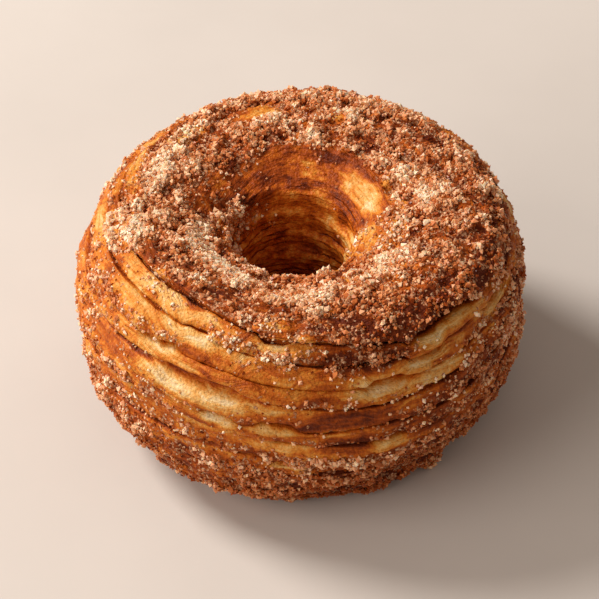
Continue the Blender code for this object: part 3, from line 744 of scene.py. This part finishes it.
def strew(dough, grain):
    """A piece of loose crystals over the dough, as one mesh made from arrays."""
    mesh = dough.data
    mesh.calc_loop_triangles()
    corners = get_values(mesh.loop_triangles, "vertices", 3, np.int32)
    points, normals = (get_values(mesh.vertices, field, 3) for field in ("co", "normal"))
    thickness, browning, relief = (
        get_values(mesh.attributes[name].data, "value")[corners].mean(axis=1)
        for name in ("sugar", "browning", "relief")
    )
    a, b, c = (points[corners[:, k]] for k in range(3))
    area = np.linalg.norm(np.cross(b - a, c - a), axis=1) / 2
    middle = (a + b + c) / 3
    lumps = soft_noise(middle, 2.6 * MM, 51) + 0.3 * soft_noise(middle, 7 * MM, 52)  # small and larger ones
    gathered = 1 + grain.cluster * (LUMP_GATHERS * lumps + RELIEF_GATHERS * relief)
    coat = np.minimum(thickness, THICKEST_COAT) ** grain.thickness_power * np.clip(gathered, FEWEST, MOST)
    coat[middle[:, 2] < CLEAN_BELOW] = 0

    draw = np.random.default_rng(grain.seed)
    chance = area * coat
    chosen = draw.choice(len(area), grain.count, p=chance / chance.sum())
    u, v = draw.uniform(0, 1, (2, grain.count))
    flip = u + v > 1
    u[flip], v[flip] = 1 - u[flip], 1 - v[flip]
    place = (np.stack([1 - u - v, u, v], axis=-1)[..., None] * points[corners[chosen]]).sum(axis=1)
    normal = normals[corners[chosen]].sum(axis=1)
    normal /= np.linalg.norm(normal, axis=1)[:, None]
    size = grain.size * draw.uniform(1 - grain.spread, 1 + grain.spread, grain.count)
    heap = grain.lift * np.clip(lumps[chosen], 0, 1) * draw.uniform(0, 1, grain.count)
    place += normal * (heap + size * GRAIN_STANDS_OUT)[:, None]

    made = crystals(draw, grain, size, place)
    stain = LOW_DARKENING * np.clip(1 - place[:, 2] / DARKER_BELOW, 0, 1)
    # the dough's stain and painted shade, passed on to the grain
    stain += BROWN_STAIN_AND_SHADE * (browning[chosen] - BROWN_FROM)
    stain -= THICK_TINT * np.clip(thickness[chosen] - THICK_FROM, 0, THICK_RANGE)
    tint = PLAIN_TINT + TINT_VARIES * draw.uniform(0, 1, grain.count) - stain
    # painted light on the lumps, painted shade in the hollows
    tint += LUMP_PAINTED_LIGHT * lumps[chosen] + RELIEF_PAINTED_LIGHT * relief[chosen]
    tint = np.repeat(np.clip(tint, 0, 1), len(CRYSTAL_CORNERS))
    set_attribute(made, "tint", "FLOAT", "value", tint)
    piece = bpy.data.objects.new(grain.name, made)
    bpy.context.scene.collection.objects.link(piece)
    return piece


def crystals(draw, grain, size, place):
    """A mesh of crystals at those places, each stretched, uneven and turned its own way."""
    shape = np.array(CRYSTAL_CORNERS) * draw.uniform(*CRYSTAL_STRETCH, (grain.count, 1, 3))
    shape = shape + draw.uniform(-CRYSTAL_JITTER, CRYSTAL_JITTER, (grain.count, len(CRYSTAL_CORNERS), 3))
    turn, _ = np.linalg.qr(draw.normal(size=(grain.count, 3, 3)))
    turn *= np.sign(np.linalg.det(turn))[:, None, None]  # a turn that mirrors would show the faces' backs
    shape = np.einsum("nij,nkj->nki", turn, shape) * size[:, None, None] + place[:, None, :]
    shape[..., 2] = np.maximum(shape[..., 2], 0)
    faces = (np.arange(grain.count) * len(CRYSTAL_CORNERS))[:, None, None] + np.array(CRYSTAL_FACES)
    made = bpy.data.meshes.new(grain.name)
    made.from_pydata(shape.reshape(-1, 3), [], faces.reshape(-1, 3).tolist())
    return made


# ---------------------------------------------------------------------------------------------- materials


def colour(code):
    """A linear colour with alpha from an sRGB hex code."""
    parts = [int(code[i : i + 2], 16) / 255 for i in (1, 3, 5)]
    return (*(p / 12.92 if p <= 0.04045 else ((p + 0.055) / 1.055) ** 2.4 for p in parts), 1.0)


def new_material(name):
    material = bpy.data.materials.new(name)
    material.use_nodes = True
    material.node_tree.nodes.clear()
    return material


def add_node(material, kind, inputs=(), stops=(), **settings):
    """Adds a node and returns its outputs.

    inputs holds pairs of a socket and its value or the output that feeds it, stops pairs of a place on a
    ramp and its sRGB code, and settings the node's own properties.
    """
    node = material.node_tree.nodes.new(kind)
    for name, value in settings.items():
        setattr(node, name, value)
    for socket, value in inputs:
        if isinstance(value, bpy.types.NodeSocket):
            material.node_tree.links.new(value, node.inputs[socket])
        else:
            node.inputs[socket].default_value = value
    elements = node.color_ramp.elements if stops else ()
    while len(elements) < len(stops):
        elements.new(0.5)
    for element, (place, code) in zip(elements, stops):
        element.position = place
        element.color = colour(code)
    return node.outputs


MATH, NOISE, RAMP, MIX = "ShaderNodeMath", "ShaderNodeTexNoise", "ShaderNodeValToRGB", "ShaderNodeMix"

# Dough as it browns in hot fat, from cream through gold to red-brown
DOUGH_COLOURS = (
    (0.0, "#E8CA98"),
    (0.2, "#E2AE64"),
    (0.4, "#D58630"),
    (0.58, "#BE6016"),
    (0.76, "#98420C"),
    (1.0, "#5A1E04"),
)
DUST_COLOURS = ((0.35, "#96502A"), (0.5, "#C08058"), (0.7, "#EAC29C"))
SUGAR_COLOURS = ((0.0, "#984618"), (0.35, "#C87844"), (0.7, "#E8B086"), (1.0, "#F9DCBC"))
SPICED_SUGAR_COLOURS = ((0.0, "#642206"), (0.5, "#984412"), (1.0, "#C47C46"))
BOARD_COLOURS = ((0.3, "#CAC3BD"), (0.7, "#D0C9C3"))


def fried_dough():
    """Laminated dough fried in butter: cream inside, golden to red-brown where the fat browned it, and
    browner still in hollows, grooves and seams as painted shade.

    Streaks follow its strands. Between heaps of crystals it is dusted with spice and fine sugar, and where
    it is bare its skin shines a little with fat.
    """
    material = new_material("fried_laminated_dough")
    node = partial(add_node, material)
    browning, sugar, grooves, relief = (
        node("ShaderNodeAttribute", attribute_name=name)["Fac"]
        for name in ("browning", "sugar", "grooves", "relief")
    )
    strand = node("ShaderNodeAttribute", attribute_name="strand")["Vector"]
    place = node("ShaderNodeTexCoord")["Object"]

    streaks = []  # sizes along and across the strands in millimetres, detail
    for along, across, detail in ((10, 3.0, 2.0), (12, 1.6, 3.0), (6, 0.6, 3.0), (5, 2.5, 2.0)):
        scale = (1 / (along * MM), 1 / (along * MM), 1 / (across * MM))
        drawn = node("ShaderNodeMapping", [("Vector", strand), ("Scale", scale)])["Vector"]
        streak = [("Vector", drawn), ("Scale", 1.0), ("Detail", detail), ("Roughness", 0.6)]
        streaks.append(node(NOISE, streak)["Fac"])
    patchy, broad, fine, waves = streaks
    blotches = []  # sizes in millimetres, detail
    for size, detail in ((3, 2.0), (0.8, 2.0), (0.55, 1.0), (0.5, 1.0), (2.4, 2.0), (0.4, 1.0)):
        blotch = [("Vector", place), ("Scale", 1 / (size * MM)), ("Detail", detail)]
        blotches.append(node(NOISE, blotch)["Fac"])
    clouds, mottle, speck, crumb, heaps, stain = blotches

    # Grooves between the thin sheets: 1 in the middle of each, 0 from a sixth of the pitch away
    across = node("ShaderNodeSeparateXYZ", [("Vector", strand)])["Z"]
    sheets = node(MATH, [(0, across), (1, SHEET_PITCH)], operation="DIVIDE")[0]
    sheets = node(MATH, [(0, waves), (1, 0.7), (2, sheets)], operation="MULTIPLY_ADD")[0]
    groove = node(MATH, [(0, sheets), (1, 0.5)], operation="PINGPONG")[0]
    groove = node(MATH, [(0, groove), (1, -6.0), (2, 1.0)], operation="MULTIPLY_ADD")[0]
    groove = node(MATH, [(0, groove), (1, 0.0)], operation="MAXIMUM")[0]
    groove = node(MATH, [(0, groove), (1, grooves)], operation="MULTIPLY")[0]

    # How brown each place looks: paler where raised and browner in grooves, both painted light and shade, and
    # uneven with every pattern
    shade = node(MATH, [(0, relief), (1, -0.25), (2, browning)], operation="MULTIPLY_ADD")[0]
    shade = node(MATH, [(0, groove), (1, 0.13), (2, shade)], operation="MULTIPLY_ADD")[0]
    for pattern, weight in ((patchy, 0.9), (broad, 0.6), (fine, 0.5), (clouds, 0.35), (mottle, 0.45)):
        centred = node(MATH, [(0, pattern), (1, 0.5)], operation="SUBTRACT")[0]
        shade = node(MATH, [(0, centred), (1, weight), (2, shade)], operation="MULTIPLY_ADD")[0]
    dough = node(RAMP, [(0, shade)], DOUGH_COLOURS)["Color"]

    # Specks of cinnamon, more of them where sugar lies
    specks = node(MATH, [(0, speck), (1, 0.62)], operation="GREATER_THAN")[0]
    spice = node(MATH, [(0, sugar), (1, 0.6), (2, 0.25)], operation="MULTIPLY_ADD")[0]
    spice = node(MATH, [(0, specks), (1, spice)], operation="MULTIPLY")[0]
    spiced = node(MIX, [(0, spice), (6, dough), (7, colour("#7C3A16"))], data_type="RGBA")[2]

    # Fine sugar stuck to the dough between the loose grains, in crystals of 0.62 mm
    heaps = node(MATH, [(0, heaps), (1, 2.6), (2, -0.9)], operation="MULTIPLY_ADD")[0]
    heaps = node(MATH, [(0, heaps), (1, 0.0)], operation="MAXIMUM")[0]
    dust = node("ShaderNodeTexVoronoi", [("Vector", place), ("Scale", 1 / (0.62 * MM))])
    coat = node(MATH, [(0, sugar), (1, heaps)], operation="MULTIPLY")[0]
    coat = node(MATH, [(0, coat), (1, 1.4)], operation="MULTIPLY")[0]
    shown = node(MATH, [(0, dust["Color"]), (1, coat)], operation="LESS_THAN")[0]
    cover = node(MATH, [(0, shown), (1, 0.85)], operation="MULTIPLY")[0]
    dusty = node(RAMP, [(0, stain)], DUST_COLOURS)["Color"]
    dusted = node(MIX, [(0, cover), (6, spiced), (7, dusty)], data_type="RGBA")[2]

    # Relief too fine for the mesh: streaks, grooves, crumb, and the stuck crystals
    height = node(MATH, [(0, fine), (1, 0.9), (2, broad)], operation="MULTIPLY_ADD")[0]
    height = node(MATH, [(0, groove), (1, -0.3), (2, height)], operation="MULTIPLY_ADD")[0]
    height = node(MATH, [(0, crumb), (1, 0.6), (2, height)], operation="MULTIPLY_ADD")[0]
    peak = node(MATH, [(0, 1.0), (1, dust["Distance"])], operation="SUBTRACT")[0]
    grit = node(MATH, [(0, shown), (1, peak)], operation="MULTIPLY")[0]
    height = node(MATH, [(0, grit), (1, 1.2), (2, height)], operation="MULTIPLY_ADD")[0]
    bump = node("ShaderNodeBump", [("Height", height), ("Strength", 0.75), ("Distance", 0.6 * MM)])["Normal"]

    roughness = node(MATH, [(0, sugar), (1, 0.3), (2, 0.42)], operation="MULTIPLY_ADD")[0]
    shader = [
        ("Base Color", dusted),
        ("Roughness", roughness),
        ("Normal", bump),
        ("IOR", 1.47),  # cooking fat
        ("Specular IOR Level", 0.15),
        ("Subsurface Weight", 0.12),
        ("Subsurface Radius", (1.0, 0.5, 0.25)),
        ("Subsurface Scale", 1.5 * MM),
    ]
    surface = node("ShaderNodeBsdfPrincipled", shader)["BSDF"]
    node("ShaderNodeOutputMaterial", [("Surface", surface)])
    return material


def granulated_sugar(name, stops):
    """Sugar crystals stained by cinnamon: pale where clean, tan to brown where the spice sticks; their tint
    also holds painted light on lumps and painted shade in hollows and over dough that carries painted shade.

    Light goes a little way into each crystal, so the grains glow softly and only their edges cast shade.
    """
    material = new_material(name)
    node = partial(add_node, material)
    tint = node("ShaderNodeAttribute", attribute_name="tint")["Fac"]
    shader = [
        ("Base Color", node(RAMP, [(0, tint)], stops)["Color"]),
        ("Roughness", 0.25),
        ("IOR", 1.54),  # sugar
        ("Specular IOR Level", 0.12),
        ("Subsurface Weight", 0.35),
        ("Subsurface Radius", (1.0, 0.5, 0.22)),
        ("Subsurface Scale", 0.6 * MM),
    ]
    surface = node("ShaderNodeBsdfPrincipled", shader)["BSDF"]
    node("ShaderNodeOutputMaterial", [("Surface", surface)])
    return material


def matt_board():
    """The pale, matt board that the ring stands on, faintly mottled."""
    material = new_material("matt_pale_board")
    node = partial(add_node, material)
    place = node("ShaderNodeTexCoord")["Object"]
    mottle = node(NOISE, [("Vector", place), ("Scale", 1 / (55.6 * MM)), ("Detail", 4.0)])["Fac"]
    base = node(RAMP, [(0, mottle)], BOARD_COLOURS)["Color"]
    surface = node("ShaderNodeBsdfPrincipled", [("Base Color", base), ("Roughness", 0.8)])["BSDF"]
    node("ShaderNodeOutputMaterial", [("Surface", surface)])
    return material


# ---------------------------------------------------------------------------------------------- stage

TARGET = Vector((-0.2 * MM, 0, 21.1 * MM))
CAMERA_ELEVATION = radians(44.5)
CAMERA_DISTANCE = 450 * MM
LENS_MM, SENSOR_MM = 135, 36
FLOOR_SIDE = 4  # metres
LIGHTS_AIM = Vector((0, 0, 20 * MM))
LIGHTS = (  # name, place and width in metres, watts, colour
    ("key", (-0.88, 0.467, 0.907), 0.48, 19.8, "#FFF9F2"),
    ("fill", (-0.9, -0.44, 0.62), 0.87, 7.0, "#FFF4EA"),
)
WORLD_COLOUR, WORLD_STRENGTH = "#F0DFD0", 0.4


def aim(item, target):
    item.rotation_euler = (target - item.location).to_track_quat("-Z", "Y").to_euler()


def add_camera():
    data = bpy.data.cameras.new("camera")
    data.lens = LENS_MM
    data.sensor_width = SENSOR_MM
    data.clip_start = 10 * MM
    camera = bpy.data.objects.new("camera", data)
    bpy.context.scene.collection.objects.link(camera)
    offset = Vector((0, -cos(CAMERA_ELEVATION), sin(CAMERA_ELEVATION)))
    camera.location = TARGET + CAMERA_DISTANCE * offset
    aim(camera, TARGET)
    bpy.context.scene.camera = camera


def add_light(name, place, width, watts, code):
    data = bpy.data.lights.new(name, "AREA")
    data.shape = "DISK"
    data.size = width
    data.energy = watts
    data.color = colour(code)[:3]
    light = bpy.data.objects.new(name, data)
    bpy.context.scene.collection.objects.link(light)
    light.location = place
    aim(light, LIGHTS_AIM)


def add_floor():
    bpy.ops.object.select_all(action="DESELECT")
    bpy.ops.mesh.primitive_plane_add(size=FLOOR_SIDE)
    floor = bpy.context.object
    floor.name = "floor"
    floor.data.materials.append(matt_board())


def set_world():
    world = bpy.data.worlds.new("studio")
    bpy.context.scene.world = world
    world.use_nodes = True
    background = world.node_tree.nodes["Background"]
    background.inputs["Color"].default_value = colour(WORLD_COLOUR)
    background.inputs["Strength"].default_value = WORLD_STRENGTH
    bpy.context.scene.view_settings.view_transform = "Standard"


def main():
    add_camera()
    set_world()
    add_floor()
    for light in LIGHTS:
        add_light(*light)

    dough = make_dough()
    add_skin(dough)
    dough.data.materials.append(fried_dough())
    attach(dough, "root")
    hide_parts(NODE)
    pale = granulated_sugar("granulated_sugar", SUGAR_COLOURS)
    brown = granulated_sugar("cinnamon_sugar", SPICED_SUGAR_COLOURS)
    for grain, material in zip(GRAINS, (pale, pale, brown)):
        piece = strew(dough, grain)
        piece.data.materials.append(material)
        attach(piece, "root")


main()
